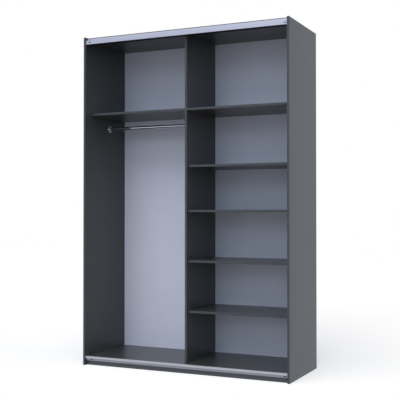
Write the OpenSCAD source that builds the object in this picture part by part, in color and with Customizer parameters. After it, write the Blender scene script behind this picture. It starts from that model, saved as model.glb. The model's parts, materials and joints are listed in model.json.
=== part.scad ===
// Sliding door wardrobe: the carcass, its fittings and its door tracks.
// Millimetres. X runs along the width, the front faces -Y, and Z is up.
// The origin is on the floor, in the middle of the footprint.

/* [Carcass] */
// Overall width
body_w = 1600; // [1500:10:1800]
// Overall depth
body_d = 600; // [580:10:700]
// Overall height
body_h = 2420; // [2350:10:2600]
// Thickness of the laminated board
board_t = 16; // [16:1:18]
// Thickness of the top panel
top_t = 18; // [16:1:19]
// How far the side panels stand above the top panel
side_proud = 1; // [0:1:4]
// Thickness of the edge bands
band_t = 1; // [0.5:0.5:2]

/* [Inside] */
// Centre of the partition, right of the middle
partition_x = 4; // [-60:1:60]
// Depth of the door zone in front of the inner boards
door_zone = 80; // [78:1:100]
// Underside of the middle board
middle_z = 1847; // [1820:1:1900]
// Underside of each adjustable shelf, from the bottom up
shelf_z = [414, 770, 1126, 1445];
// How far the adjustable shelves sit behind the partition's front
shelf_setback = 20; // [10:1:40]
// Gap at each end and behind an adjustable shelf
shelf_gap = 1; // [0.5:0.5:2]

/* [Base and back] */
// Height of the plinths
plinth_h = 50; // [45:1:70]
// How far the front plinth sits behind the side panels' front
plinth_setback = 30; // [28:1:40]
// Thickness of the back sheets
back_t = 3; // [2.5:0.5:4]
// How far the back sheets sit in from the rear
back_inset = 22; // [15:1:30]

/* [Door tracks] */
// How far the overhead track's front wall sits behind the side panels' front
track_setback = 5; // [3:1:8]
// Inner width of a track channel
channel_w = 23; // [20:1:26]
// Wall thickness of the aluminium profiles
wall = 2; // [1.5:0.5:2.5]
// Underside of the overhead track
track_z = 2368; // [2360:1:2370]
// Height of the front wall of the overhead track
track_front_h = 27; // [25:1:30]
// Width of a guide groove in the bottom rail
groove_w = 10; // [8:1:12]

/* [Hanging rail] */
// Outer diameter of the rail tube
rail_d = 25; // [20:1:30]
// Centre of the rail behind the middle of the depth
rail_y = 44; // [0:1:60]
// Centre of the rail below the middle board
rail_drop = 77; // [60:1:100]

/* [Hidden] */
$fn = 48;
cut = 1;                                   // how far a cutter runs past a face
fit_gap = 0.1;                             // radial clearance round a hidden fastener

x_in = body_w / 2 - board_t;               // inner face of a side panel
y_front = -body_d / 2;
y_back = body_d / 2 - back_inset - back_t; // front face of the back sheets
y_inner = y_front + door_zone;             // front of the inner boards
partition_l = partition_x - board_t / 2;
partition_r = partition_x + board_t / 2;

top_z = body_h - side_proud - top_t;       // underside of the top panel
floor_z = plinth_h + board_t;              // top face of the bottom panel
middle_top = middle_z + board_t;

// Overhead track
track_y = y_front + track_setback;         // face of the front wall
flange_y = track_y + wall + channel_w;     // face of the middle wall and cover flange
rear_wall_y = flange_y + wall + channel_w;
track_end_gap = 0.5;                       // end play between a profile and the side panels
track_x = x_in - track_end_gap;
cover_drop = 5;                            // top panel edge left showing above the flange
lip = 4;                                   // width of the lips the rollers run on
lip_t = 2;
y_top_front = flange_y + wall;             // front of the top panel

// Bottom guide rail
nose_y = y_front + 6;                      // face of the nose
nose_h = 15.5;
guide_y = nose_y + wall + groove_w;        // face of the middle wall
guide_z = 33.5;                            // bottom of the middle wall
y_floor_front = guide_y + wall;            // front of the bottom panel
plinth_y = y_front + plinth_setback;
fin_z = plinth_h + board_t / 2;            // the barbed fin that holds the rail in the panel
fin_l = 12;
fin_t = 2;

// Cam fittings and dowels
cam_r = 7.5;
cam_h = 12.5;
cam_from_end = 24;
bolt_r = 3;
bolt_in_side = 11;
bolt_head_r = 3.5;
dowel_r = 4;
dowel_in_edge = 20;
dowel_in_face = 10;
dowel_slack = 1;

cam_y = [-150, 215];                       // along the depth of every inner board
dowel_y = [-100, 165];
lower_shift = 32;                          // the lower partition's fasteners miss the upper one's
wall_z_plinth = plinth_h / 2;

// Shelf pins
pin_r = 2.5;
pin_in = 9;
collar_r = 4.5;
collar_t = 1;
tongue_l = 9;
tongue_t = 2.5;
pin_y = [y_inner + 60, y_back - 40];
shelf_front = y_inner + shelf_setback;
shelf_back = y_back - 2 * shelf_gap;

// Hanging rail
rail_z = middle_z - rail_drop;
tube_wall = 1.2;
flange_r = 26;
flange_t = 3;
cup_r = 16.5;
cup_l = 14;
flange_screw_r = 1.75;
flange_screw_l = 13;
flange_screw_at = 21;
flange_screw_n = 3;

// Track screws, stops and their slots
track_screw_x = [-720, -432, -144, 144, 432, 720];
track_screw_r = 1.75;
track_screw_l = 15;
screw_head_r = 3.5;
screw_head_t = 1.5;
stop_l = 24;
stop_gap = 0.3;
slot_h = 5;
stop_shank_r = 2;
stop_head_r = 4.5;
stop_head_t = 2.2;
stop_screw_in = 6;                         // how far the clamp screw reaches into its block
track_stop_z = 2382;
guide_stop_z = 42;
// Each stop: the screw's x, how far the slot lets it go left and right, and how far its block's
// middle lies to the right of the screw
upper_left_stop = [-750, 8, 8, 0];
upper_right_stop = [776, 14, 0, -5];
lower_left_stop = [-736, 8, 8, 0];
lower_right_stop = [766, 14, 4, 0];

// Back nails
nail_r = 0.8;
nail_l = 18;
nail_head_r = 2.4;
nail_head_t = 0.6;
nail_pitch = 190;

// ---------- general shapes ----------

// A box given by its lowest and highest corner
module block(low, high) {
    translate(low)
        cube(high - low);
}

// A cylinder that starts at p and runs along a unit axis
module rod(p, axis, r, l) {
    turn = axis[0] != 0 ? [0, 90 * axis[0], 0] : axis[1] != 0 ? [-90 * axis[1], 0, 0]
         : axis[2] < 0 ? [180, 0, 0] : [0, 0, 0];
    translate(p)
        rotate(turn)
            cylinder(r = r, h = l);
}

// A profile drawn in the YZ plane, run along X from x0 to x1
module along_x(x0, x1, outline) {
    translate([x0, 0, 0])
        rotate([90, 0, 90])
            linear_extrude(height = x1 - x0)
                polygon(outline);
}

// ---------- panel joints ----------
// A joint has an origin on the meeting face and an axis that points into the board whose end
// meets it. face_side is the direction from the board's middle to the face the cam sits in.

// Every fastener line between two boards: [point on the meeting face, axis, cam side, board t]
function end_joints(z, t, cam_side) = [
    for (side = [-1, 1], y = cam_y)
        [[side * x_in, y, z + t / 2], [-side, 0, 0], [0, 0, cam_side], t]
];

function end_dowels(z, t) = [
    for (side = [-1, 1], y = dowel_y)
        [[side * x_in, y, z + t / 2], [-side, 0, 0]]
];

function upright_joints(z, up, shift) = [
    for (y = cam_y)
        [[partition_x, y + shift, z], [0, 0, up], [-1, 0, 0], board_t]
];

function upright_dowels(z, up, shift) = [
    for (y = dowel_y)
        [[partition_x, y + shift, z], [0, 0, up]]
];

plinth_mid_y = plinth_y + board_t / 2;
plinth_rear_y = y_back - board_t;

function plinth_dowels(y) = [
    for (side = [-1, 1])
        [[side * x_in, y, wall_z_plinth], [-side, 0, 0]]
];

CAM_JOINTS = concat(
    end_joints(top_z, top_t, 1),
    end_joints(plinth_h, board_t, -1),
    end_joints(middle_z, board_t, 1),
    upright_joints(top_z, -1, 0),
    upright_joints(middle_top, 1, 0),
    upright_joints(middle_z, -1, lower_shift),
    upright_joints(floor_z, 1, lower_shift)
);

DOWEL_JOINTS = concat(
    end_dowels(top_z, top_t),
    end_dowels(plinth_h, board_t),
    end_dowels(middle_z, board_t),
    upright_dowels(top_z, -1, 0),
    upright_dowels(middle_top, 1, 0),
    upright_dowels(middle_z, -1, lower_shift),
    upright_dowels(floor_z, 1, lower_shift),
    plinth_dowels(plinth_mid_y),
    plinth_dowels(plinth_rear_y + board_t / 2)
);

// The face of the board that a joint's cam pocket opens in
function cam_mouth(joint) = joint[0] + cam_from_end * joint[1] + joint[3] / 2 * joint[2];

// Pocket and end bore in the board, and the threaded hole in the piece it meets
module cam_bores() {
    for (joint = CAM_JOINTS) {
        rod(cam_mouth(joint) + cut * joint[2], -joint[2], cam_r + fit_gap, cam_h + fit_gap + cut);
        rod(joint[0], joint[1], bolt_head_r + fit_gap, cam_from_end);
        rod(joint[0], -joint[1], bolt_r + fit_gap, bolt_in_side + fit_gap);
    }
}

module dowel_bores() {
    for (joint = DOWEL_JOINTS)
        rod(joint[0] - (dowel_in_face + dowel_slack) * joint[1], joint[1],
            dowel_r + fit_gap, dowel_in_face + dowel_in_edge + 2 * dowel_slack);
}

module cam_housings() {
    color("silver")
        for (joint = CAM_JOINTS)
            difference() {
                rod(cam_mouth(joint), -joint[2], cam_r, cam_h);
                rod(joint[0] + cut * joint[1], joint[1], bolt_head_r + fit_gap, cam_from_end);
                translate(cam_mouth(joint))
                    cam_slots();
            }
}

// The cross recess for the screwdriver, cut from every side so it fits any direction
module cam_slots() {
    slot_w = 1.2;
    slot_l = 9;
    slot_deep = 2;
    for (size = [[slot_l, slot_w, 2 * slot_deep], [slot_w, slot_l, 2 * slot_deep]])
        cube(size, center = true);
}

module cam_bolts() {
    shank_l = cam_from_end - 2;
    head_l = 4;
    color("gainsboro")
        for (joint = CAM_JOINTS) {
            rod(joint[0] - bolt_in_side * joint[1], joint[1], bolt_r, bolt_in_side + shank_l - head_l);
            rod(joint[0] + (shank_l - head_l) * joint[1], joint[1], bolt_head_r, head_l);
        }
}

module dowels() {
    color("burlywood")
        for (joint = DOWEL_JOINTS)
            rod(joint[0] - dowel_in_face * joint[1], joint[1], dowel_r, dowel_in_face + dowel_in_edge);
}

// ---------- back nails ----------

function row(from, to, n) = [for (i = [0 : n - 1]) from + (to - from) * i / (n - 1)];

nail_margin = 40;
nail_from_joint = 4;
rows_x = concat(row(-x_in + nail_margin, partition_l - nail_margin, 5),
                row(partition_r + nail_margin, x_in - nail_margin, 5));
rows_z = [plinth_h + board_t / 2, middle_z + board_t / 2, top_z + top_t / 2];
upright_z = concat(row(floor_z + nail_margin, middle_z - nail_margin, 9),
                   row(middle_top + nail_margin, top_z - nail_margin, 3));

NAILS = concat(
    [for (z = rows_z, x = rows_x) [x, z]],
    [for (z = upright_z, side = [-1, 1]) [partition_x + side * nail_from_joint, z]]
);

module back_nails() {
    rear = y_back + back_t;
    color("lightgray")
        for (at = NAILS) {
            rod([at[0], rear, at[1]], [0, -1, 0], nail_r, nail_l);
            rod([at[0], rear, at[1]], [0, 1, 0], nail_head_r, nail_head_t);
        }
}

module nail_holes() {
    for (at = NAILS)
        rod([at[0], y_back + back_t + cut, at[1]], [0, -1, 0], nail_r + fit_gap, nail_l + 2 * cut);
}

// ---------- carcass ----------

// Takes every fastener's hole out of the board it is given
module drilled() {
    difference() {
        children();
        cam_bores();
        dowel_bores();
        nail_holes();
    }
}

module side_panel(side) {
    groove_deep = 8;
    groove_w = back_t + 0.2;
    color("dimgray")
        difference() {
            block([side > 0 ? x_in : -x_in - board_t, y_front + band_t, 0],
                  [side > 0 ? x_in + board_t : -x_in, body_d / 2, body_h]);
            block([side > 0 ? x_in - cut : -x_in - groove_deep, y_back, -cut],
                  [side > 0 ? x_in + groove_deep : -x_in + cut, y_back + groove_w, body_h + cut]);
            cam_bores();
            dowel_bores();
            if (side > 0) pin_bores();
            if (side < 0) rail_screw_bores();
        }
}

module side_panel_left() { side_panel(-1); }
module side_panel_right() { side_panel(1); }

module top_panel() {
    color("dimgray")
        difference() {
            drilled()
                block([-x_in, y_top_front + band_t, top_z], [x_in, y_back, top_z + top_t]);
            track_screw_bores();
        }
}

module bottom_panel() {
    color("dimgray")
        drilled()
            difference() {
                block([-x_in, y_floor_front, plinth_h], [x_in, y_back, floor_z]);
                block([-x_in - cut, y_floor_front - cut, fin_z - fin_t / 2],
                      [x_in + cut, y_floor_front + fin_l + cut, fin_z + fin_t / 2]);
            }
}

module middle_board() {
    color("dimgray")
        drilled()
            block([-x_in, y_inner + band_t, middle_z], [x_in, y_back, middle_top]);
}

module partition(low, high) {
    color("dimgray")
        difference() {
            drilled()
                block([partition_l, y_inner + band_t, low], [partition_r, y_back, high]);
            pin_bores();
            rail_screw_bores();
        }
}

module partition_upper() { partition(middle_top, top_z); }
module partition_lower() { partition(floor_z, middle_z); }

module plinth(y) {
    color("dimgray")
        difference() {
            block([-x_in, y, 0], [x_in, y + board_t, plinth_h]);
            dowel_bores();
        }
}

module plinth_front() { plinth(plinth_y); }
module plinth_rear() { plinth(plinth_rear_y); }

module plinth_centre() {
    color("dimgray")
        block([partition_l, plinth_y + board_t, 0], [partition_r, plinth_rear_y, plinth_h]);
}

module back_sheet(from, to) {
    color("ghostwhite")
        difference() {
            block([from, y_back, plinth_h], [to, y_back + back_t, top_z + top_t]);
            nail_holes();
        }
}

sheet_edge = x_in + 7;
module back_sheet_left() { back_sheet(-sheet_edge, partition_x); }
module back_sheet_right() { back_sheet(partition_x, sheet_edge); }

// ---------- edge bands ----------

module edge_band(low, size) {
    color("gray")
        block(low, low + size);
}

module edge_band_side_left() {
    edge_band([-x_in - board_t, y_front, 0], [board_t, band_t, body_h]);
}

module edge_band_side_right() {
    edge_band([x_in, y_front, 0], [board_t, band_t, body_h]);
}

module edge_band_top() {
    edge_band([-x_in, y_top_front, top_z], [2 * x_in, band_t, top_t]);
}

module edge_band_middle() {
    edge_band([-x_in, y_inner, middle_z], [2 * x_in, band_t, board_t]);
}

module edge_band_partition_upper() {
    edge_band([partition_l, y_inner, middle_top], [board_t, band_t, top_z - middle_top]);
}

module edge_band_partition_lower() {
    edge_band([partition_l, y_inner, floor_z], [board_t, band_t, middle_z - floor_z]);
}

// ---------- overhead track ----------
// Two channels open downwards. The front one hangs in front of the top panel, the rear one is
// screwed to its underside, and a flange between them covers the panel's front edge.

front_web_z = track_z + track_front_h;
cover_top = top_z + top_t - cover_drop;

track_outline = [
    [track_y, track_z],
    [track_y, front_web_z],
    [flange_y, front_web_z],
    [flange_y, cover_top],
    [flange_y + wall, cover_top],
    [flange_y + wall, top_z],
    [rear_wall_y + wall, top_z],
    [rear_wall_y + wall, track_z],
    [rear_wall_y - lip, track_z],
    [rear_wall_y - lip, track_z + lip_t],
    [rear_wall_y, track_z + lip_t],
    [rear_wall_y, top_z - wall],
    [flange_y + wall, top_z - wall],
    [flange_y + wall, track_z + lip_t],
    [flange_y + wall + lip, track_z + lip_t],
    [flange_y + wall + lip, track_z],
    [flange_y - lip, track_z],
    [flange_y - lip, track_z + lip_t],
    [flange_y, track_z + lip_t],
    [flange_y, front_web_z - wall],
    [track_y + wall, front_web_z - wall],
    [track_y + wall, track_z + lip_t],
    [track_y + wall + lip, track_z + lip_t],
    [track_y + wall + lip, track_z]
];

module overhead_track() {
    color("silver")
        difference() {
            along_x(-track_x, track_x, track_outline);
            stop_slot(upper_left_stop, track_y, track_stop_z);
            stop_slot(upper_right_stop, track_y, track_stop_z);
            track_screw_bores();
        }
}

track_screw_y = (flange_y + wall + rear_wall_y) / 2;

module track_screw_bores() {
    for (x = track_screw_x)
        rod([x, track_screw_y, top_z - wall - cut], [0, 0, 1],
            track_screw_r + fit_gap, track_screw_l + 2 * cut);
}

module track_screws() {
    color("gainsboro")
        for (x = track_screw_x) {
            rod([x, track_screw_y, top_z - wall], [0, 0, 1], track_screw_r, track_screw_l);
            rod([x, track_screw_y, top_z - wall], [0, 0, -1], screw_head_r, screw_head_t);
        }
}

// ---------- bottom guide rail ----------
// It caps the bottom panel's front edge, flush with the floor. The nose and the middle wall make
// the front guide groove, and the middle wall and the plinth make the rear one.

guide_outline = [
    [nose_y, floor_z - nose_h],
    [nose_y, floor_z],
    [guide_y + wall, floor_z],
    [guide_y + wall, fin_z + fin_t / 2],
    [guide_y + wall + fin_l, fin_z + fin_t / 2],
    [guide_y + wall + fin_l, fin_z - fin_t / 2],
    [guide_y + wall, fin_z - fin_t / 2],
    [guide_y + wall, guide_z],
    [guide_y, guide_z],
    [guide_y, floor_z - wall],
    [nose_y + wall, floor_z - wall],
    [nose_y + wall, floor_z - nose_h]
];

module guide_rail() {
    color("silver")
        difference() {
            along_x(-track_x, track_x, guide_outline);
            stop_slot(lower_left_stop, guide_y, guide_stop_z);
            stop_slot(lower_right_stop, guide_y, guide_stop_z);
        }
}

// ---------- end stops ----------
// A block inside a channel, and a clamp screw through a slot in the channel's front wall

function slot_low(stop) = stop[0] - stop[1];
function slot_high(stop) = stop[0] + stop[2];

module stop_slot(stop, y, z) {
    for (x = [slot_low(stop), slot_high(stop)])
        rod([x, y - cut, z], [0, 1, 0], slot_h / 2, wall + 2 * cut);
    block([slot_low(stop), y - cut, z - slot_h / 2],
          [slot_high(stop), y + wall + cut, z + slot_h / 2]);
}

module stop_block(stop, low_y, high_y, low_z, high_z, wall_y, screw_z) {
    middle = stop[0] + stop[3];
    color("darkslategray")
        difference() {
            block([middle - stop_l / 2, low_y + stop_gap, low_z + stop_gap],
                  [middle + stop_l / 2, high_y - stop_gap, high_z - stop_gap]);
            rod([stop[0], wall_y, screw_z], [0, 1, 0],
                stop_shank_r + fit_gap, wall + stop_gap + stop_screw_in + fit_gap);
        }
}

module stop_screw(x, wall_y, screw_z) {
    recess_w = 1;
    recess_l = 5;
    recess_deep = 1;
    face = wall_y - stop_gap;
    color("black")
        difference() {
            union() {
                rod([x, face, screw_z], [0, 1, 0], stop_shank_r, 2 * stop_gap + wall + stop_screw_in);
                rod([x, face, screw_z], [0, -1, 0], stop_head_r, stop_head_t);
            }
            for (size = [[recess_l, recess_w], [recess_w, recess_l]])
                translate([x, face - stop_head_t, screw_z])
                    cube([size[0], 2 * recess_deep, size[1]], center = true);
        }
}

module track_stop(stop) {
    stop_block(stop, track_y + wall, flange_y, track_z + lip_t, front_web_z - wall,
               track_y, track_stop_z);
}

module guide_stop(stop) {
    stop_block(stop, guide_y + wall, plinth_y, guide_z, plinth_h, guide_y, guide_stop_z);
}

module track_stop_left() { track_stop(upper_left_stop); }
module track_stop_right() { track_stop(upper_right_stop); }
module guide_stop_left() { guide_stop(lower_left_stop); }
module guide_stop_right() { guide_stop(lower_right_stop); }
module track_stop_screw_left() { stop_screw(upper_left_stop[0], track_y, track_stop_z); }
module track_stop_screw_right() { stop_screw(upper_right_stop[0], track_y, track_stop_z); }
module guide_stop_screw_left() { stop_screw(lower_left_stop[0], guide_y, guide_stop_z); }
module guide_stop_screw_right() { stop_screw(lower_right_stop[0], guide_y, guide_stop_z); }

// ---------- hanging rail ----------

module hanging_rail() {
    from = -x_in + flange_t;
    to = partition_l - flange_t;
    color("lightgray")
        difference() {
            rod([from, rail_y, rail_z], [1, 0, 0], rail_d / 2, to - from);
            rod([from - cut, rail_y, rail_z], [1, 0, 0], rail_d / 2 - tube_wall, to - from + 2 * cut);
        }
}

function flange_screw_yz(i) = let (a = 90 + 360 * i / flange_screw_n)
    [rail_y + flange_screw_at * cos(a), rail_z + flange_screw_at * sin(a)];

// A round plate against the board, with a cup round the tube's end
module rail_flange(x, way) {
    color("lightgray")
        difference() {
            union() {
                rod([x, rail_y, rail_z], [way, 0, 0], flange_r, flange_t);
                rod([x, rail_y, rail_z], [way, 0, 0], cup_r, cup_l);
            }
            rod([x + way * flange_t, rail_y, rail_z], [way, 0, 0], rail_d / 2 + fit_gap, cup_l);
            for (i = [0 : flange_screw_n - 1])
                rod(concat(x - way * cut, flange_screw_yz(i)), [way, 0, 0],
                    flange_screw_r + fit_gap, flange_t + 2 * cut);
        }
}

module rail_flange_left() { rail_flange(-x_in, 1); }
module rail_flange_right() { rail_flange(partition_l, -1); }

module rail_flange_screws() {
    color("lightgray")
        for (end = [[-x_in, 1], [partition_l, -1]], i = [0 : flange_screw_n - 1]) {
            p = concat(end[0] + end[1] * flange_t, flange_screw_yz(i));
            rod(p, [-end[1], 0, 0], flange_screw_r, flange_screw_l);
            rod(p, [end[1], 0, 0], screw_head_r, screw_head_t);
        }
}

module rail_screw_bores() {
    for (end = [[-x_in, 1], [partition_l, -1]], i = [0 : flange_screw_n - 1])
        rod(concat(end[0] + end[1] * cut, flange_screw_yz(i)), [-end[1], 0, 0],
            flange_screw_r + fit_gap, flange_screw_l);
}

// ---------- adjustable shelves and their pins ----------

module pin_bores() {
    for (z = shelf_z, y = pin_y) {
        rod([partition_r + cut, y, z - pin_r], [-1, 0, 0], pin_r + fit_gap, pin_in + cut + fit_gap);
        rod([x_in - cut, y, z - pin_r], [1, 0, 0], pin_r + fit_gap, pin_in + cut + fit_gap);
    }
}

// One pin: a peg in the board, a collar against it and a flat tongue under the shelf
module shelf_pin(x, y, z, way) {
    rod([x, y, z - pin_r], [-way, 0, 0], pin_r, pin_in);
    intersection() {
        rod([x, y, z - pin_r], [way, 0, 0], collar_r, collar_t);
        block([x - collar_t, y - collar_r, z - 2 * collar_r], [x + collar_t, y + collar_r, z]);
    }
    block([min(x, x + way * tongue_l), y - collar_r, z - tongue_t],
          [max(x, x + way * tongue_l), y + collar_r, z]);
}

module shelf_pins(i) {
    color("silver")
        for (y = pin_y) {
            shelf_pin(partition_r, y, shelf_z[i], 1);
            shelf_pin(x_in, y, shelf_z[i], -1);
        }
}

module shelf_pins_1() { shelf_pins(0); }
module shelf_pins_2() { shelf_pins(1); }
module shelf_pins_3() { shelf_pins(2); }
module shelf_pins_4() { shelf_pins(3); }

module shelf(i) {
    color("dimgray")
        block([partition_r + shelf_gap, shelf_front + band_t, shelf_z[i]],
              [x_in - shelf_gap, shelf_back, shelf_z[i] + board_t]);
}

module shelf_band(i) {
    edge_band([partition_r + shelf_gap, shelf_front, shelf_z[i]],
              [x_in - partition_r - 2 * shelf_gap, band_t, board_t]);
}

module shelf_1() { shelf(0); }
module shelf_2() { shelf(1); }
module shelf_3() { shelf(2); }
module shelf_4() { shelf(3); }
module shelf_band_1() { shelf_band(0); }
module shelf_band_2() { shelf_band(1); }
module shelf_band_3() { shelf_band(2); }
module shelf_band_4() { shelf_band(3); }

// ---------- what is drawn ----------

side_panel_left();
side_panel_right();
top_panel();
bottom_panel();
middle_board();
partition_upper();
partition_lower();
plinth_front();
plinth_rear();
plinth_centre();
back_sheet_left();
back_sheet_right();
edge_band_side_left();
edge_band_side_right();
edge_band_top();
edge_band_middle();
edge_band_partition_upper();
edge_band_partition_lower();
overhead_track();
track_screws();
guide_rail();
hanging_rail();
rail_flange_left();
rail_flange_right();
rail_flange_screws();
cam_housings();
cam_bolts();
dowels();
back_nails();
shelf_pins_1();
shelf_pins_2();
shelf_pins_3();
shelf_pins_4();
shelf_1();
shelf_2();
shelf_3();
shelf_4();
shelf_band_1();
shelf_band_2();
shelf_band_3();
shelf_band_4();
track_stop_left();
track_stop_right();
guide_stop_left();
guide_stop_right();
track_stop_screw_left();
track_stop_screw_right();
guide_stop_screw_left();
guide_stop_screw_right();
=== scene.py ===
"""Looks of the sliding door wardrobe: materials, finer fittings, floor, light and camera.

Lengths are in metres. X runs along the width, the front faces -Y, and Z is up.
"""
import json
import math

import bmesh
import bpy
from mathutils import Matrix, Vector


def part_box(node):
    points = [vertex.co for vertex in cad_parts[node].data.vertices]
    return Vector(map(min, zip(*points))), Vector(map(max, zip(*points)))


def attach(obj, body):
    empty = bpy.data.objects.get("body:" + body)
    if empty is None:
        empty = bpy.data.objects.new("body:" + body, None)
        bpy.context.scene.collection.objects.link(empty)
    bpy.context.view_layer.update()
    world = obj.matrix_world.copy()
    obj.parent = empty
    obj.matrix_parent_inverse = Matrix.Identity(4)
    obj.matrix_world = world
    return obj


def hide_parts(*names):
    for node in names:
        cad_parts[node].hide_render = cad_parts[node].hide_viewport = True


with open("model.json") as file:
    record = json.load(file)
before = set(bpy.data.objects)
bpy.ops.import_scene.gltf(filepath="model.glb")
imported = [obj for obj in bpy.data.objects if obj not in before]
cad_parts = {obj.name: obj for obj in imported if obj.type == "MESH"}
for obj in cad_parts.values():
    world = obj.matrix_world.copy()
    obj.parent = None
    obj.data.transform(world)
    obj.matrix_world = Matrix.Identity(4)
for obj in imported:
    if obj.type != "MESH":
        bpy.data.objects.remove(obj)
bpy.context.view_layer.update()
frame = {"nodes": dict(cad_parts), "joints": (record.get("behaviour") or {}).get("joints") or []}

MM = 0.001
SAME_POINT = 0.001 * MM

# ---------- colours, linear RGB ----------

GRAPHITE = (0.0463, 0.0494, 0.0512)
GRAPHITE_BAND = (0.0525, 0.0585, 0.0712)
# Painted light: a lighter copy of the graphite laminate, standing in for the extra light the low plinth gets
# from the floor.
PLINTH_PAINTED_LIGHT = (0.075, 0.079, 0.091)
LACQUER = (0.695, 0.74, 0.905)
RAW_BOARD = (0.23, 0.13, 0.066)
ALUMINIUM = (0.65, 0.665, 0.775)
GUIDE_ALUMINIUM = (0.80, 0.79, 0.82)
CHROME = (0.86, 0.87, 0.90)
ZINC = (0.46, 0.46, 0.45)
BEECH = (0.50, 0.31, 0.16)
BLACK_NYLON = (0.012, 0.012, 0.013)
BLACK_STEEL = (0.010, 0.010, 0.012)
FLOOR = (0.79, 0.755, 0.70)
FLOOR_GLOW = (0.47, 0.505, 0.55)
HORIZON_GLOW = (0.645, 0.71, 0.80)
WHITE = (1.0, 1.0, 1.0)

# ---------- sizes, the same as in the CAD part ----------

# Screws of the overhead track and of the hanging rail's flanges.
SMALL_HEAD_R = 3.5 * MM
SMALL_HEAD_T = 1.5 * MM
SMALL_SHANK_R = 1.75 * MM
SMALL_HOLE_R = 1.85 * MM
TRACK_SHANK_L = 15 * MM
FLANGE_SHANK_L = 13 * MM

# Clamp screws of the end stops, and their slots.
STOP_HEAD_R = 4.5 * MM
STOP_HEAD_T = 2.2 * MM
STOP_SHANK_R = 2 * MM
SLOT_R = 2.5 * MM

# Nails of the back sheets.
NAIL_HEAD_R = 2.4 * MM
NAIL_HEAD_T = 0.6 * MM
NAIL_SHANK_R = 0.8 * MM
NAIL_L = 18 * MM

# Pins of the adjustable shelves.
SHELVES = (1, 2, 3, 4)
PEG_R = 2.5 * MM
PEG_L = 9 * MM
COLLAR_R = 4.5 * MM
COLLAR_T = 1 * MM
TONGUE_L = 9 * MM
TONGUE_T = 2.5 * MM

# Flanges of the hanging rail.
PLATE_R = 26 * MM
PLATE_T = 3 * MM
CUP_R = 16.5 * MM
CUP_BORE_R = 12.6 * MM

# Door rails.
RAIL_WALL = 2 * MM
RAIL_CORNER = 0.4 * MM
GUIDE_STEP_TOP = 50 * MM
TRACK_CHANNEL_H = 26.7 * MM
TRACK_FACE_T = 1 * MM

# The joint between the two back sheets.
SEAM_HALF = 0.5 * MM


# ---------- material building ----------

# A noise texture's values lie mostly between these two.
NOISE_LOW = 0.3
NOISE_HIGH = 0.7

# Places of a colour mix node's sockets.
MIX_A = 6
MIX_B = 7
MIX_RESULT = 2


def shade(colour, by):
    return tuple(c * by for c in colour)


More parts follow.
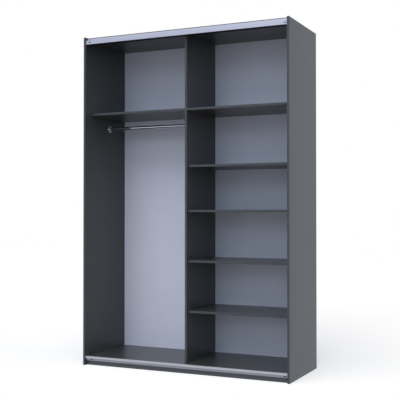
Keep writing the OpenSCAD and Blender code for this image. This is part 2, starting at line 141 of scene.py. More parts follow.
class Look:
    """A material with one Principled shader, and short calls for the nodes that feed it."""

    def __init__(self, name, roughness, metallic=0.0, specular=0.5):
        self.material = bpy.data.materials.new(name)
        self.material.use_nodes = True
        self.nodes = self.material.node_tree.nodes
        self.links = self.material.node_tree.links
        self.shader = self.nodes["Principled BSDF"]
        self.shader.inputs["Roughness"].default_value = roughness
        self.shader.inputs["Metallic"].default_value = metallic
        self.shader.inputs["Specular IOR Level"].default_value = specular
        self.where = self.nodes.new("ShaderNodeTexCoord").outputs["Object"]

    def new(self, kind, **settings):
        node = self.nodes.new(kind)
        for key, value in settings.items():
            setattr(node, key, value)
        return node

    def stretched(self, scale):
        """The object's own coordinates, scaled by a different amount along each axis."""
        mapping = self.new("ShaderNodeMapping")
        mapping.inputs["Scale"].default_value = scale
        self.links.new(self.where, mapping.inputs["Vector"])
        return mapping.outputs["Vector"]

    def noise(self, size, detail=2.0, rough=0.5, stretch=(1, 1, 1)):
        """Noise whose patches are about size metres across, longer along an axis with a small stretch."""
        node = self.new("ShaderNodeTexNoise")
        node.inputs["Scale"].default_value = 1.0
        node.inputs["Detail"].default_value = detail
        node.inputs["Roughness"].default_value = rough
        self.links.new(self.stretched(tuple(s / size for s in stretch)), node.inputs["Vector"])
        return node.outputs["Fac"]

    def spread(self, noise, low, high, start=NOISE_LOW, end=NOISE_HIGH):
        """Low where the noise is at start, and changing to high where it is at end."""
        node = self.new("ShaderNodeMapRange")
        node.inputs["From Min"].default_value = start
        node.inputs["From Max"].default_value = end
        node.inputs["To Min"].default_value = low
        node.inputs["To Max"].default_value = high
        self.links.new(noise, node.inputs["Value"])
        return node.outputs["Result"]

    def share(self, noise, most=1.0, start=NOISE_LOW, end=NOISE_HIGH):
        """How much of a second colour shows: none where the noise is at start, most where it is at end."""
        return self.spread(noise, 0.0, most, start, end)

    def maths(self, operation, a, b):
        node = self.new("ShaderNodeMath", operation=operation)
        for socket, value in zip(node.inputs, (a, b)):
            if isinstance(value, (int, float)):
                socket.default_value = value
            else:
                self.links.new(value, socket)
        return node.outputs["Value"]

    def mix(self, factor, a, b):
        """Colour a where factor is 0, colour b where it is 1. A colour is a tuple or a socket."""
        node = self.new("ShaderNodeMix", data_type="RGBA")
        self.links.new(factor, node.inputs["Factor"])
        for socket, colour in ((node.inputs[MIX_A], a), (node.inputs[MIX_B], b)):
            if isinstance(colour, tuple):
                socket.default_value = (*colour, 1.0)
            else:
                self.links.new(colour, socket)
        return node.outputs[MIX_RESULT]

    def tint(self, noise, colour, dark, light, start=NOISE_LOW, end=NOISE_HIGH):
        """A colour that varies with the noise, between dark and light times its strength."""
        return self.mix(self.share(noise, 1.0, start, end), shade(colour, dark), shade(colour, light))

    def facing(self, axis):
        """1 where the surface faces along an axis of the object, 0 elsewhere."""
        parts = self.new("ShaderNodeSeparateXYZ")
        self.links.new(self.new("ShaderNodeTexCoord").outputs["Normal"], parts.inputs["Vector"])
        sign = sum(axis)
        part = parts.outputs[[abs(a) for a in axis].index(1)]
        return self.maths("GREATER_THAN", self.maths("MULTIPLY", part, sign), 0.5)

    def place(self, axis):
        """The place on the object along an axis, which is X, Y or Z."""
        parts = self.new("ShaderNodeSeparateXYZ")
        self.links.new(self.where, parts.inputs["Vector"])
        return parts.outputs[axis]

    def under(self, axis, limit):
        """1 where the place on the object along an axis is under a limit, 0 past it."""
        return self.maths("LESS_THAN", self.place(axis), limit)

    def away(self, axis, value):
        """The distance along an axis from a place on the object."""
        return self.maths("ABSOLUTE", self.maths("SUBTRACT", self.place(axis), value), 0.0)

    def colour(self, value):
        self.links.new(value, self.shader.inputs["Base Color"])

    def roughness(self, value):
        self.links.new(value, self.shader.inputs["Roughness"])

    def bump(self, *heights):
        """Adds bumps, each a (value, depth in metres) pair, one on top of the other."""
        normal = None
        for value, depth in heights:
            node = self.new("ShaderNodeBump")
            node.inputs["Distance"].default_value = depth
            self.links.new(value, node.inputs["Height"])
            if normal is not None:
                self.links.new(normal, node.inputs["Normal"])
            normal = node.outputs["Normal"]
        self.links.new(normal, self.shader.inputs["Normal"])


# ---------- materials ----------

def laminate(name, colour):
    """Melamine board: a fine pearl texture, small darker flecks and a barely uneven sheen."""
    look = Look(name, roughness=0.30)
    pearl = look.noise(0.9 * MM, detail=3.0)
    fleck = look.noise(1.8 * MM, detail=1.0)
    cloud = look.noise(300 * MM, detail=1.0)
    tone = look.tint(cloud, colour, dark=0.99, light=1.01)
    flecked = look.share(fleck, start=0.52, end=0.72)
    look.colour(look.mix(flecked, tone, shade(colour, 0.95)))
    look.roughness(look.spread(pearl, low=0.29, high=0.32))
    look.bump((fleck, 0.05 * MM), (pearl, 0.035 * MM))
    return look.material


def edge_band(name, stretch, colour=GRAPHITE_BAND):
    """ABS edge band: the board's colour with faint lines along its length."""
    look = Look(name, roughness=0.36)
    line = look.noise(0.8 * MM, stretch=stretch)
    pearl = look.noise(0.7 * MM)
    look.colour(look.tint(line, colour, dark=0.93, light=1.06))
    look.roughness(look.spread(look.noise(20 * MM), low=0.32, high=0.40))
    look.bump((line, 0.02 * MM), (pearl, 0.02 * MM))
    return look.material


def back_sheet():
    """Fibreboard, lacquered on the face inside the wardrobe, raw on its other faces."""
    look = Look("back_fibreboard", roughness=0.40, specular=0.4)
    inside = look.facing((0, -1, 0))
    outside = look.maths("SUBTRACT", 1.0, inside)
    cloud = look.noise(220 * MM)
    fibre = look.noise(1.6 * MM, detail=5.0, rough=0.7, stretch=(0.35, 1, 1))
    weave = look.noise(11 * MM, detail=3.0, rough=0.6)
    peel = look.noise(1.5 * MM, detail=1.0)
    lacquer = look.tint(cloud, LACQUER, dark=0.985, light=1.015)
    raw = look.tint(fibre, RAW_BOARD, dark=0.72, light=1.25, start=0.35, end=0.65)
    raw = look.mix(look.share(weave, most=0.35), raw, shade(RAW_BOARD, 0.8))
    seam_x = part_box("back_sheet_left")[1].x
    seam = look.maths("LESS_THAN", look.away("X", seam_x), SEAM_HALF)
    raw = look.mix(seam, raw, shade(RAW_BOARD, 0.15))
    look.colour(look.mix(inside, raw, lacquer))
    sheen = look.spread(look.noise(30 * MM), low=0.36, high=0.46)
    rougher_outside = look.maths("MULTIPLY", outside, 0.4)
    look.roughness(look.maths("ADD", sheen, rougher_outside))
    look.bump((peel, 0.03 * MM), (fibre, 0.03 * MM))
    return look.material


def aluminium(name, colour, step_shade_below=None, channel_shade_behind=None, channel_shade_below=None):
    """Satin anodised extrusion with fine die lines along its length.

    Below one height it has painted shade, darker for a recessed step in shadow. Behind one depth and below
    another height, where its channels and lips lie in shadow, it has painted shade, near black.
    """
    look = Look(name, roughness=0.50, metallic=1.0)
    die = look.noise(0.6 * MM, detail=3.0, rough=0.6, stretch=(0.0015, 1, 1))
    band = look.noise(4.0 * MM, detail=1.0, stretch=(0.001, 1, 1))
    grain = look.noise(0.35 * MM)
    tone = look.tint(die, colour, dark=0.93, light=1.05)
    tone = look.mix(look.share(band, most=0.3), tone, shade(colour, 0.9))
    # Painted shade: the colour darkens below this height, where a recessed step lies in the shadow of the
    # rail's nose.
    if step_shade_below is not None:
        step_shade = look.maths("MULTIPLY", look.under("Z", step_shade_below), 0.4)
        tone = look.mix(step_shade, tone, shade(colour, 0.3))
    # Painted shade: behind the front face and below the channel tops the colour is near black, as shadow
    # inside the channels and under the lips.
    if channel_shade_behind is not None:
        behind = look.maths("SUBTRACT", 1.0, look.under("Y", channel_shade_behind))
        channels = look.maths("MULTIPLY", behind, look.under("Z", channel_shade_below))
        tone = look.mix(channels, tone, shade(colour, 0.07))
    look.colour(tone)
    look.roughness(look.spread(grain, low=0.52, high=0.62))
    look.bump((die, 0.02 * MM), (grain, 0.006 * MM))
    return look.material


def chrome():
    """Plated steel: bright, with faint drawing lines along it and the haze of handling."""
    look = Look("plated_steel", roughness=0.10, metallic=1.0)
    drawn = look.noise(0.9 * MM, stretch=(0.002, 1, 1))
    haze = look.noise(45 * MM, detail=3.0)
    look.colour(look.tint(drawn, CHROME, dark=0.96, light=1.02))
    look.roughness(look.spread(haze, low=0.05, high=0.11))
    look.bump((drawn, 0.004 * MM))
    return look.material


def zinc(name, roughness):
    """Cast or plated zinc: a dull grain with slightly darker patches."""
    look = Look(name, roughness, metallic=1.0)
    grain = look.noise(0.5 * MM, detail=3.0)
    patch = look.noise(5 * MM)
    look.colour(look.tint(patch, ZINC, dark=0.84, light=1.12))
    look.roughness(look.spread(patch, low=roughness - 0.06, high=roughness + 0.08))
    look.bump((grain, 0.02 * MM))
    return look.material


def beech():
    """Fluted dowel wood: pale, with short dark flecks along the grain."""
    look = Look("beech", roughness=0.6, specular=0.35)
    ring = look.noise(1.2 * MM, detail=3.0, stretch=(0.15, 1, 1))
    fleck = look.noise(0.8 * MM, stretch=(0.3, 1, 1))
    tone = look.tint(ring, BEECH, dark=0.8, light=1.15)
    flecked = look.share(fleck, most=0.5, start=0.6, end=0.75)
    look.colour(look.mix(flecked, tone, shade(BEECH, 0.5)))
    look.bump((ring, 0.05 * MM))
    return look.material


def black_plastic():
    """Moulded nylon with a fine spark texture."""
    look = Look("black_nylon", roughness=0.5, specular=0.45)
    spark = look.noise(0.5 * MM)
    cloud = look.noise(9 * MM)
    look.colour(look.tint(cloud, BLACK_NYLON, dark=0.8, light=1.3))
    look.roughness(look.spread(spark, low=0.44, high=0.58))
    look.bump((spark, 0.03 * MM))
    return look.material


def black_steel():
    """Black oxide screw steel, oily and slightly worn."""
    look = Look("black_steel", roughness=0.38)
    worn = look.noise(1.5 * MM, detail=4.0)
    look.colour(look.tint(worn, BLACK_STEEL, dark=1.0, light=3.0, start=0.58, end=0.75))
    look.roughness(look.spread(worn, low=0.30, high=0.46))
    look.bump((look.noise(0.4 * MM), 0.01 * MM))
    return look.material


def floor_paint():
    """Pale matt studio floor, a little uneven, that the camera sees as white where no shadow falls."""
    look = Look("pale_floor", roughness=0.8, specular=0.2)
    seen = look.new("ShaderNodeLightPath").outputs["Is Camera Ray"]
    look.links.new(seen, look.shader.inputs["Emission Strength"])
    look.shader.inputs["Emission Color"].default_value = (*FLOOR_GLOW, 1.0)
    cloud = look.noise(0.9, detail=3.0)
    look.colour(look.tint(cloud, FLOOR, dark=0.985, light=1.0))
    look.roughness(look.spread(look.noise(0.2), low=0.75, high=0.9))
    return look.material


# A band's lines run along the axis whose stretch is small.
UPRIGHT = (1, 1, 0.002)
LEVEL = (0.002, 1, 1)
TRACK_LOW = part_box("overhead_track")[0]

LAMINATE = laminate("graphite_laminate", GRAPHITE)
# The plinth's laminate is painted lighter, as light thrown up from the floor.
PLINTH_BOARD = laminate("plinth_laminate_painted_light", PLINTH_PAINTED_LIGHT)
BAND_UPRIGHT = edge_band("edge_band_upright", UPRIGHT)
BAND_LEVEL = edge_band("edge_band_level", LEVEL)
# Painted shade: the top panel's edge band above the track is a quarter as bright as the other bands, as
# shadow in the gap above the track.
BAND_PAINTED_SHADE = edge_band("edge_band_painted_shade", LEVEL, shade(GRAPHITE_BAND, 0.25))
BACK_SHEET = back_sheet()
# The track's channels and undersides get painted shade.
TRACK_ALLOY = aluminium(
    "anodised_track",
    ALUMINIUM,
    channel_shade_behind=TRACK_LOW.y + TRACK_FACE_T,
    channel_shade_below=TRACK_LOW.z + TRACK_CHANNEL_H,
)
# The guide rail's recessed lower step gets painted shade.
GUIDE_ALLOY = aluminium("anodised_guide", GUIDE_ALUMINIUM, step_shade_below=GUIDE_STEP_TOP)
PLATED = chrome()
CAST_ZINC = zinc("cast_zinc", 0.48)
PLATED_ZINC = zinc("plated_zinc", 0.34)
WOOD = beech()
NYLON = black_plastic()
SCREW_STEEL = black_steel()

# The first family that starts a node's name gives its material.
MATERIAL_OF = {
    "side_panel": LAMINATE,
    "top_panel": LAMINATE,
    "bottom_panel": LAMINATE,
    "middle_board": LAMINATE,
    "partition": LAMINATE,
    "plinth": PLINTH_BOARD,
    "shelf_band": BAND_LEVEL,
    "shelf_pins": PLATED_ZINC,
    "shelf": LAMINATE,
    "back_sheet": BACK_SHEET,
    "back_nails": PLATED_ZINC,
    "edge_band_side": BAND_UPRIGHT,
    "edge_band_partition": BAND_UPRIGHT,
    "edge_band_top": BAND_PAINTED_SHADE,
    "edge_band": BAND_LEVEL,
    "overhead_track": TRACK_ALLOY,
    "guide_rail": GUIDE_ALLOY,
    "track_screws": PLATED_ZINC,
    "hanging_rail": PLATED,
    "rail_flange_screws": PLATED_ZINC,
    "rail_flange": PLATED,
    "cam_housings": CAST_ZINC,
    "cam_bolts": PLATED_ZINC,
    "dowels": WOOD,
    "track_stop_screw": SCREW_STEEL,
    "guide_stop_screw": SCREW_STEEL,
    "track_stop": NYLON,
    "guide_stop": NYLON,
}


def material_for(node):
    for family, material in MATERIAL_OF.items():
        if node.startswith(family):
            return material
    raise KeyError(node)


def paint(thing, material):
    thing.data.materials.clear()
    thing.data.materials.append(material)


for name, thing in frame["nodes"].items():
    paint(thing, material_for(name))


# ---------- mesh building ----------

SHARP_ANGLE = math.radians(32)


def add_piece(name, mesh, material, replaced, body="root"):
    """Shows a finished mesh in place of a CAD node, riding on its body, smooth between its sharp edges."""
    mesh.name = name
    mesh.shade_smooth()
    mesh.set_sharp_from_angle(angle=SHARP_ANGLE)
    piece = bpy.data.objects.new(name, mesh)
    bpy.context.scene.collection.objects.link(piece)
    paint(piece, material)
    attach(piece, body)
    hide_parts(replaced)
    return piece


def as_mesh(bm):
    bmesh.ops.recalc_face_normals(bm, faces=bm.faces)
    mesh = bpy.data.meshes.new("part")
    bm.to_mesh(mesh)
    bm.free()
    return mesh


def join_rings(bm, low, high):
    """Faces between two rings of as many points, or between a ring and a single point."""
    count = max(len(low), len(high))
    for i in range(count):
        j = (i + 1) % count
        corners = [low[i % len(low)], low[j % len(low)], high[j % len(high)], high[i % len(high)]]
        bm.faces.new(list(dict.fromkeys(corners)))


def lathe(outline, segments):
    """Turns (height, radius) pairs about the Z axis. A radius of 0 closes an end."""
    bm = bmesh.new()
    turns = [2 * math.pi * i / segments for i in range(segments)]
    rows = []
    for height, radius in outline:
        if radius == 0:
            rows.append([bm.verts.new((0, 0, height))])
        else:
            rows.append([bm.verts.new((radius * math.cos(t), radius * math.sin(t), height)) for t in turns])
    for low, high in zip(rows, rows[1:]):
        join_rings(bm, low, high)
    return as_mesh(bm)


def cylinder(radius, half_length, segments):
    """A cylinder along Z, centred on the origin, for cutting a hole."""
    outline = [(-half_length, 0), (-half_length, radius), (half_length, radius), (half_length, 0)]
    return lathe(outline, segments)


def fillet(centre, radius, start, end, steps=4):
    """Points on an arc in the (height, radius) plane, from one angle to another, in degrees."""
    angles = [math.radians(start + (end - start) * i / steps) for i in range(steps + 1)]
    return [(centre[0] + radius * math.sin(a), centre[1] + radius * math.cos(a)) for a in angles]


def slab(low, high, corner=0.0, steps=4):
    """A box whose four upright edges are rounded by corner."""
    bm = bmesh.new()
    left = low[0] + corner
    right = high[0] - corner
    front = low[1] + corner
    back = high[1] - corner
    outline = []
    for x, y, start in ((right, back, 0), (left, back, 90), (left, front, 180), (right, front, 270)):
        for i in range(steps + 1):
            a = math.radians(start + 90 * i / steps)
            outline.append((x + corner * math.cos(a), y + corner * math.sin(a)))
    bottom = [bm.verts.new((x, y, low[2])) for x, y in outline]
    top = [bm.verts.new((x, y, high[2])) for x, y in outline]
    bm.faces.new(bottom)
    bm.faces.new(top)
    join_rings(bm, bottom, top)
    bmesh.ops.remove_doubles(bm, verts=bm.verts, dist=SAME_POINT)
    return as_mesh(bm)


def eased(outline, radius, steps=3):
    """A square-cornered outline with a small arc at each corner, at most two fifths of a side long."""
    points = []
    for i, corner in enumerate(outline):
        here = Vector(corner)
        back = Vector(outline[i - 1]) - here
        on = Vector(outline[(i + 1) % len(outline)]) - here
        reach = min(radius, 0.4 * back.length, 0.4 * on.length)
        back = back.normalized() * reach
        on = on.normalized() * reach
        for k in range(steps + 1):
            a = math.radians(90 * k / steps)
            points.append(here + back + on - on * math.cos(a) - back * math.sin(a))
    return points


def extruded(outline, low_x, high_x):
    """A bar along X with one section, given as (y, z) pairs."""
    bm = bmesh.new()
    start, end = [[bm.verts.new((x, y, z)) for y, z in outline] for x in (low_x, high_x)]
    bm.faces.new(start)
    bm.faces.new(end)
    join_rings(bm, start, end)
    return as_mesh(bm)


def wedge(length, width, depth, taper):
    """A bar for cutting a screw recess: it hangs below z = 0 and narrows towards its bottom."""
    bm = bmesh.new()
    rows = []
    for z, k in ((depth, 1 + taper), (-depth, 1 - taper)):
        x = length / 2 * k
        y = width / 2 * k
        rows.append([bm.verts.new(p) for p in ((-x, -y, z), (x, -y, z), (x, y, z), (-x, y, z))])
    bm.faces.new(rows[0])
    bm.faces.new(rows[1])
    join_rings(bm, rows[0], rows[1])
    return as_mesh(bm)


def moved(mesh, place):
    mesh.transform(place)
    return mesh


def combine(mesh, other, operation):
    """The exact union or difference of two closed meshes."""
    base = bpy.data.objects.new("base", mesh)
    tool = bpy.data.objects.new("tool", other)
    for thing in (base, tool):
        bpy.context.scene.collection.objects.link(thing)
    step = base.modifiers.new("step", "BOOLEAN")
    step.operation = operation
    step.solver = "EXACT"
    step.object = tool
    graph = bpy.context.evaluated_depsgraph_get()
    result = bpy.data.meshes.new_from_object(base.evaluated_get(graph))
    for thing in (base, tool):
        bpy.data.objects.remove(thing)
    return result


def rounded(mesh, width, angle):
    """Rounds the edges of a mesh that are sharper than an angle in degrees."""
    bm = bmesh.new()
    bm.from_mesh(mesh)
    bmesh.ops.remove_doubles(bm, verts=bm.verts, dist=SAME_POINT)
    sharp = [e for e in bm.edges if e.is_manifold and e.calc_face_angle() > math.radians(angle)]
    bmesh.ops.bevel(
        bm, geom=sharp, offset=width, segments=2, profile=0.5, affect="EDGES", clamp_overlap=True
    )
    return as_mesh(bm)


def copies(mesh, places):
    """One mesh made of a copy at each place. A place is a matrix."""
    bm = bmesh.new()
    for place in places:
        first = len(bm.verts)
        bm.from_mesh(mesh)
        bm.verts.ensure_lookup_table()
        bmesh.ops.transform(bm, matrix=place, verts=bm.verts[first:])
    made = bpy.data.meshes.new("part")
    bm.to_mesh(made)
    bm.free()
    return made


def solids(node):
    """(centre, size) of each separate solid of a CAD node, from its mesh in the frame."""
    bm = bmesh.new()
    bm.from_mesh(frame["nodes"][node].data)
    bmesh.ops.remove_doubles(bm, verts=bm.verts, dist=SAME_POINT)
    left = set(bm.verts)
    found = []
    for seed in bm.verts:
        if seed not in left:
            continue
        left.discard(seed)
        group = [seed]
        for vertex in group:
            for edge in vertex.link_edges:
                other = edge.other_vert(vertex)
                if other in left:
                    left.discard(other)
                    group.append(other)
        low = Vector(min(v.co[i] for v in group) for i in range(3))
        high = Vector(max(v.co[i] for v in group) for i in range(3))
        found.append(((low + high) / 2, high - low))
    bm.free()
    return found


def middle_of(node):
    low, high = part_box(node)
    return (low + high) / 2


def shifted(x, y, z):
    return Matrix.Translation((x, y, z))


def turned(degrees, axis):
    return Matrix.Rotation(math.radians(degrees), 4, axis)


def towards(direction, point):
    """Turns the local Z axis to a direction and moves the origin to a point."""
    turn = Vector(direction).to_track_quat("Z", "Y").to_matrix().to_4x4()
    return Matrix.Translation(point) @ turn


# ---------- screws, nails and pins ----------
# A screw or nail is drawn with its head above z = 0 and its shank below.

# Outlines of the heads. Each pair is a share of the head's height and a share of its radius.
PAN_HEAD = (
    (-0.02, 0), (-0.02, 0.92), (0.10, 0.985), (0.30, 1.0), (0.52, 0.955),
    (0.74, 0.82), (0.90, 0.60), (0.98, 0.32), (1.0, 0),
)
NAIL_HEAD = ((1.0, 0), (0.96, 0.45), (0.75, 0.8), (0.35, 1.0), (0.0, 0.96))


def threaded_shank(radius, length, pitch, segments=14, per_turn=6):
    """A shank with a real helical thread, as wide over its crests as the CAD shank, and a blunt point."""
    bm = bmesh.new()
    depth = 0.28 * radius
    point_part = 0.12
    point_width = 0.25
    crest_slope = 2.6
    count = int(length / pitch * per_turn)
    rows = []
    for k in range(count + 1):
        z = -length * k / count
        taper = min(1.0, (count - k) / (point_part * count) + point_width)
        row = []
        for i in range(segments):
            turn = i / segments
            phase = (-z / pitch - turn) % 1.0
            crest = max(0.0, 1.0 - crest_slope * abs(phase - 0.5))
            r = (radius - depth + depth * crest) * taper
            a = 2 * math.pi * turn
            row.append(bm.verts.new((r * math.cos(a), r * math.sin(a), z)))
        rows.append(row)
    for low, high in zip(rows, rows[1:]):
        join_rings(bm, low, high)
    bm.faces.new(rows[0])
    bm.faces.new(rows[-1])
    return as_mesh(bm)


def screw(head_r, head_t, shank_r, shank_l):
    """A pan head screw with a cross recess."""
    head = lathe([(height * head_t, radius * head_r) for height, radius in PAN_HEAD], 28)
    for turn in (0, 90):
        bar = wedge(length=1.15 * head_r, width=0.26 * head_r, depth=0.62 * head_t, taper=0.16)
        bar = moved(bar, shifted(0, 0, head_t) @ turned(turn, "Z"))
        head = combine(head, bar, "DIFFERENCE")
    return combine(head, threaded_shank(shank_r, shank_l, pitch=0.8 * shank_r), "UNION")


def nail(head_r, head_t, shank_r, length):
    """A panel nail: a domed head, three grip rings and a point."""
    outline = [(height * head_t, radius * head_r) for height, radius in NAIL_HEAD]
    outline.append((0.0, shank_r))
    for k in range(3):
        z = -(0.18 + 0.12 * k) * length
        outline += [(z, shank_r), (z - 0.25 * shank_r, 0.82 * shank_r), (z - 0.9 * shank_r, shank_r)]
    outline += [(-length + 2.5 * shank_r, shank_r), (-length, 0)]
    return lathe(outline, 16)


def pin_peg():
    """The ribbed peg of a shelf pin along -X, with its collar, cut flat at z = 0."""
    waist = 0.88 * PEG_R
    outline = [
        (-COLLAR_T, 0),
        (-COLLAR_T, 0.9 * COLLAR_R),
        (-0.85 * COLLAR_T, COLLAR_R),
        (-0.1 * COLLAR_T, COLLAR_R),
        (0, 0.94 * COLLAR_R),
        (0, PEG_R),
    ]
    for k in range(3):
        x = (0.30 + 0.2 * k) * PEG_L
        outline += [(x, PEG_R), (x + 0.03 * PEG_L, waist)]
        outline += [(x + 0.08 * PEG_L, waist), (x + 0.11 * PEG_L, PEG_R)]
    outline += [(0.93 * PEG_L, PEG_R), (PEG_L, 0.8 * PEG_R), (PEG_L, 0)]
    peg = moved(lathe(outline, 28), shifted(0, 0, -PEG_R) @ turned(-90, "Y"))
    far = 2 * PEG_L
    wide = 2 * COLLAR_R
    return combine(peg, slab((-far, -wide, 0), (far, wide, wide)), "DIFFERENCE")


def pin_tongue():
    """The tongue of a shelf pin along X, with its top at z = 0 and a rounded far end."""
    corner = 0.45 * COLLAR_R
    tongue = slab((-corner, -COLLAR_R, -TONGUE_T), (TONGUE_L, COLLAR_R, 0), corner)
    near_end = slab((-2 * PEG_L, -2 * COLLAR_R, -2 * TONGUE_T), (0.3 * COLLAR_T, 2 * COLLAR_R, TONGUE_T))
    return rounded(combine(tongue, near_end, "DIFFERENCE"), 0.35 * MM, angle=60)


def add_track_screws():
    """The screws that hold the overhead track, heads down in its rear channel."""
    places = []
    for centre, size in solids("track_screws"):
        seat = Vector((centre.x, centre.y, centre.z - size.z / 2 + SMALL_HEAD_T))
        places.append(towards((0, 0, -1), seat))
    master = screw(SMALL_HEAD_R, SMALL_HEAD_T, SMALL_SHANK_R, TRACK_SHANK_L)
    add_piece("Track_screws", copies(master, places), PLATED_ZINC, "track_screws")


def add_flange_screws():
    """The screws of the hanging rail's flanges, with their heads towards the middle of the rail."""
    places = []
    middle = middle_of("hanging_rail")
    for centre, size in solids("rail_flange_screws"):
        way = 1 if centre.x < middle.x else -1
        seat = Vector((centre.x + way * (size.x / 2 - SMALL_HEAD_T), centre.y, centre.z))
        places.append(towards((way, 0, 0), seat))
    master = screw(SMALL_HEAD_R, SMALL_HEAD_T, SMALL_SHANK_R, FLANGE_SHANK_L)
    add_piece("Rail_flange_screws", copies(master, places), PLATED_ZINC, "rail_flange_screws")


def stop_seat(node):
    """The place under the head of an end stop's clamp screw."""
    low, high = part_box(node)
    return Vector(((low.x + high.x) / 2, low.y + STOP_HEAD_T, (low.z + high.z) / 2))


def add_stop_screws():
    """The black clamp screws of the four end stops, one piece on each stop's own body."""
    for rail in ("track", "guide"):
        for side in ("left", "right"):
            node = f"{rail}_stop_screw_{side}"
            seat = stop_seat(node)
            master = screw(STOP_HEAD_R, STOP_HEAD_T, STOP_SHANK_R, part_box(node)[1].y - seat.y)
            mesh = copies(master, [towards((0, -1, 0), seat)])
            add_piece(node.capitalize(), mesh, SCREW_STEEL, node, f"{rail}_stop_{side}")


def add_nails():
    """The nails of the back sheets, heads to the rear."""
    places = []
    for centre, size in solids("back_nails"):
        seat = Vector((centre.x, centre.y + size.y / 2 - NAIL_HEAD_T, centre.z))
        places.append(towards((0, 1, 0), seat))
    master = nail(NAIL_HEAD_R, NAIL_HEAD_T, NAIL_SHANK_R, NAIL_L)
    add_piece("Back_nails", copies(master, places), PLATED_ZINC, "back_nails")


def add_shelf_pins():
    """Four pins under each shelf. A pin's solid is centred on the face of the board it is pushed into."""
    master = combine(pin_peg(), pin_tongue(), "UNION")
    for i in SHELVES:
        node = f"shelf_pins_{i}"
        middle = middle_of(node)
        places = []
        for centre, size in solids(node):
            turn = 0 if centre.x < middle.x else 180
            top = shifted(centre.x, centre.y, centre.z + size.z / 2)
            places.append(top @ turned(turn, "Z"))
        add_piece(f"Shelf_pins_{i}", copies(master, places), PLATED_ZINC, node)


# ---------- hanging rail flanges ----------

def rail_flange(cup_l):
    """A round plate with a soft rim, a fillet up to the cup, and a rolled lip at the cup's mouth."""
    rim = 1.0 * MM
    root = 2.0 * MM
    lip = 0.8 * MM
    chamfer = 0.3 * MM
    outline = [(0, 0), (0, PLATE_R - chamfer), (chamfer, PLATE_R)]
    outline += fillet((PLATE_T - rim, PLATE_R - rim), rim, 0, 90)
    outline += fillet((PLATE_T + root, CUP_R + root), root, 270, 180)
    outline += fillet((cup_l - lip, CUP_R - lip), lip, 0, 90)
    outline += fillet((cup_l - lip, CUP_BORE_R + lip), lip, 90, 180)
    outline += [(PLATE_T, CUP_BORE_R), (PLATE_T, 0)]
    return lathe(outline, 64)


def add_flanges():
    """The two flanges, with a hole for each of their screws."""
    for side, way in (("left", 1), ("right", -1)):
        node = f"rail_flange_{side}"
        low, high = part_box(node)
        face = middle_of(node)
        face.x = low.x if way > 0 else high.x
        flange = moved(rail_flange(high.x - low.x), towards((way, 0, 0), face))
        for centre, size in solids("rail_flange_screws"):
            if abs(centre.x - face.x) > PLATE_R:
                continue
            hole = cylinder(SMALL_HOLE_R, 10 * MM, 24)
            at = towards((way, 0, 0), Vector((face.x, centre.y, centre.z)))
            flange = combine(flange, moved(hole, at), "DIFFERENCE")
        add_piece(node.capitalize(), flange, PLATED, node)


# ---------- door rails ----------

def track_section(y, z, fin):
    """The overhead track: a front channel and a rear channel, open below, with a tall fin between them."""
    wall = RAIL_WALL
    front = 27 * MM
    rear = 33 * MM
    pitch = 25 * MM
    lip = 6 * MM
    middle = pitch + wall
    back = 2 * pitch + wall
    outline = [
        (0, 0), (0, front), (pitch, front), (pitch, fin),
        (middle, fin), (middle, rear), (back, rear), (back, 0),
        (back - lip, 0), (back - lip, wall), (back - wall, wall), (back - wall, rear - wall),
        (middle, rear - wall), (middle, wall), (middle + lip - wall, wall), (middle + lip - wall, 0),
        (pitch - lip + wall, 0), (pitch - lip + wall, wall), (pitch, wall), (pitch, front - wall),
        (wall, front - wall), (wall, wall), (lip, wall), (lip, 0),
    ]
    return [(y + dy, z + dz) for dy, dz in outline]


def guide_section(y, z, top):
    """The guide rail: a groove that opens downwards at the front, a web behind it and a foot to the rear."""
    wall = RAIL_WALL
    nose_low = 17 * MM
    groove = 14 * MM
    foot = 26 * MM
    foot_top = 25.5 * MM
    outline = [
        (0, nose_low), (0, top), (groove, top), (groove, foot_top),
        (foot, foot_top), (foot, foot_top - wall), (groove, foot_top - wall), (groove, 0),
        (groove - wall, 0), (groove - wall, top - wall), (wall, top - wall), (wall, nose_low),
    ]
    return [(y + dy, z + dz) for dy, dz in outline]


def stop_slot(stop):
    """A cutter for the slot that an end stop's screw slides along, as long as its joint lets it go."""
    seat = stop_seat(stop.replace("_stop_", "_stop_screw_"))
    joint = next(j for j in frame["joints"] if j["name"] == stop + "_slide")
    least, most = joint["range_m"]
    reach = 5 * MM
    start = seat.x + least - SLOT_R
    end = seat.x + most + SLOT_R
    bar = slab((start, -SLOT_R, -reach), (end, SLOT_R, reach), SLOT_R, steps=8)
    return moved(bar, shifted(0, seat.y, seat.z) @ turned(90, "X"))


def add_rail(node, section, stops, screws=()):
    """Shows a rail with eased corners, its stops' slots and its screw holes."""
    low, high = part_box(node)
    rail = extruded(eased(section(low.y, low.z, high.z - low.z), RAIL_CORNER), low.x, high.x)
    for stop in stops:
        rail = combine(rail, stop_slot(stop), "DIFFERENCE")
    for centre, size in screws:
        hole = cylinder(SMALL_HOLE_R, 5 * MM, 20)
        seat_z = centre.z - size.z / 2 + SMALL_HEAD_T
        rail = combine(rail, moved(hole, shifted(centre.x, centre.y, seat_z)), "DIFFERENCE")
    piece = add_piece(node.capitalize(), rail, material_for(node), node)
    flat = piece.modifiers.new("flat_faces", "WEIGHTED_NORMAL")
    flat.keep_sharp = True


# ---------- edges of the boards ----------

# The first family that starts a node's name gives its rounding. Other nodes stay as they are.
EDGE_ROUNDING = {
    "edge_band_top": 0.15 * MM,
    "edge_band": 0.45 * MM,
    "shelf_band": 0.45 * MM,
    "shelf_pins": None,
    "shelf": 0.3 * MM,
    "plinth_centre": 0.3 * MM,
}


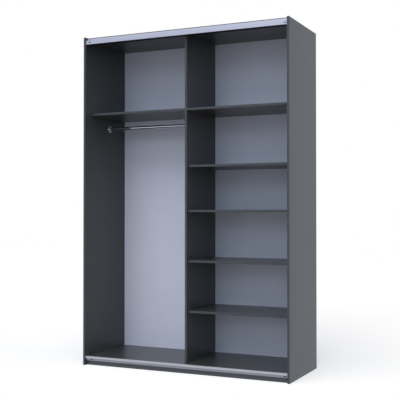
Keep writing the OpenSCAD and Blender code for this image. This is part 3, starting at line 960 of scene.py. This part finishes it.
def soften(node, thing):
    """Rounds a CAD node's sharp edges with modifiers, which leave its mesh as it is."""
    width = next((w for family, w in EDGE_ROUNDING.items() if node.startswith(family)), None)
    if width is None:
        return
    weld = thing.modifiers.new("weld", "WELD")
    weld.merge_threshold = 2 * SAME_POINT
    bevel = thing.modifiers.new("round_edges", "BEVEL")
    bevel.width = width
    bevel.segments = 2
    bevel.limit_method = "ANGLE"
    bevel.angle_limit = math.radians(40)
    bevel.use_clamp_overlap = True
    bevel.harden_normals = False


add_track_screws()
add_flange_screws()
add_stop_screws()
add_nails()
add_shelf_pins()
add_flanges()
add_rail("overhead_track", track_section, ("track_stop_left", "track_stop_right"), solids("track_screws"))
add_rail("guide_rail", guide_section, ("guide_stop_left", "guide_stop_right"))
for name, thing in frame["nodes"].items():
    soften(name, thing)


# ---------- floor, light, camera ----------

FLOOR_SIZE = 30.0
FLOOR_DROP = 0.5 * MM
LAMP_AWAY = 5.0

# The horizon's glow is whole up to one height on the unit sphere, and gone at the other.
GLOW_WHOLE = 0.28
GLOW_GONE = 0.38

CAMERA_PLACE = (2.5516, -5.4245, 1.1214)
CAMERA_TILT = 90.894
CAMERA_AZIMUTH = 25.091
CAMERA_LENS = 73.77
CAMERA_FILM = 36.0
CAMERA_REACH = 100.0


def add_floor():
    half = FLOOR_SIZE / 2
    corners = [(-half, -half, 0), (half, -half, 0), (half, half, 0), (-half, half, 0)]
    mesh = bpy.data.meshes.new("studio_floor")
    mesh.from_pydata(corners, [], [(0, 1, 2, 3)])
    floor = bpy.data.objects.new("studio_floor", mesh)
    bpy.context.scene.collection.objects.link(floor)
    floor.location.z = -FLOOR_DROP
    floor.visible_glossy = False
    paint(floor, floor_paint())


def add_soft_light(name, azimuth, elevation, strength, colour, softness):
    """A far, wide light. Azimuth 0 comes from the front and 90 from the right. Angles are in degrees."""
    lamp = bpy.data.lights.new(name, "SUN")
    lamp.energy = strength
    lamp.color = colour
    lamp.angle = math.radians(softness)
    thing = bpy.data.objects.new(name, lamp)
    bpy.context.scene.collection.objects.link(thing)
    a = math.radians(azimuth)
    e = math.radians(elevation)
    source = Vector((math.sin(a) * math.cos(e), -math.cos(a) * math.cos(e), math.sin(e)))
    thing.rotation_euler = source.to_track_quat("Z", "Y").to_euler()
    thing.location = LAMP_AWAY * source


def add_world():
    """A white surround for the camera. Its light comes only from a pale band along the horizon."""
    world = bpy.data.worlds.new("studio")
    world.use_nodes = True
    nodes = world.node_tree.nodes
    link = world.node_tree.links.new

    parts = nodes.new("ShaderNodeSeparateXYZ")
    link(nodes.new("ShaderNodeTexCoord").outputs["Generated"], parts.inputs["Vector"])
    height = nodes.new("ShaderNodeMath")
    height.operation = "ABSOLUTE"
    link(parts.outputs["Z"], height.inputs[0])
    band = nodes.new("ShaderNodeMapRange")
    band.inputs["From Min"].default_value = GLOW_WHOLE
    band.inputs["From Max"].default_value = GLOW_GONE
    band.inputs["To Min"].default_value = 1.0
    band.inputs["To Max"].default_value = 0.0
    link(height.outputs["Value"], band.inputs["Value"])

    glow = nodes["Background"]
    glow.inputs["Color"].default_value = (*HORIZON_GLOW, 1.0)
    link(band.outputs["Result"], glow.inputs["Strength"])
    white = nodes.new("ShaderNodeBackground")
    white.inputs["Color"].default_value = (*WHITE, 1.0)
    either = nodes.new("ShaderNodeMixShader")
    link(nodes.new("ShaderNodeLightPath").outputs["Is Camera Ray"], either.inputs["Fac"])
    link(glow.outputs["Background"], either.inputs[1])
    link(white.outputs["Background"], either.inputs[2])
    link(either.outputs["Shader"], nodes["World Output"].inputs["Surface"])
    bpy.context.scene.world = world


def add_camera():
    data = bpy.data.cameras.new("camera")
    data.lens = CAMERA_LENS
    data.sensor_width = CAMERA_FILM
    data.clip_end = CAMERA_REACH
    camera = bpy.data.objects.new("camera", data)
    bpy.context.scene.collection.objects.link(camera)
    camera.location = CAMERA_PLACE
    camera.rotation_euler = (math.radians(CAMERA_TILT), 0.0, math.radians(CAMERA_AZIMUTH))
    bpy.context.scene.camera = camera


add_floor()
add_world()
add_soft_light("key_front", azimuth=0, elevation=60, strength=1.88, colour=(1.0, 0.96, 0.95), softness=60)
add_soft_light("fill_front", azimuth=2, elevation=28, strength=0.47, colour=(0.88, 0.96, 1.0), softness=40)
add_soft_light("side_right", azimuth=90, elevation=15, strength=0.65, colour=(1.0, 0.85, 0.65), softness=40)
add_camera()
bpy.context.scene.view_settings.view_transform = "Standard"
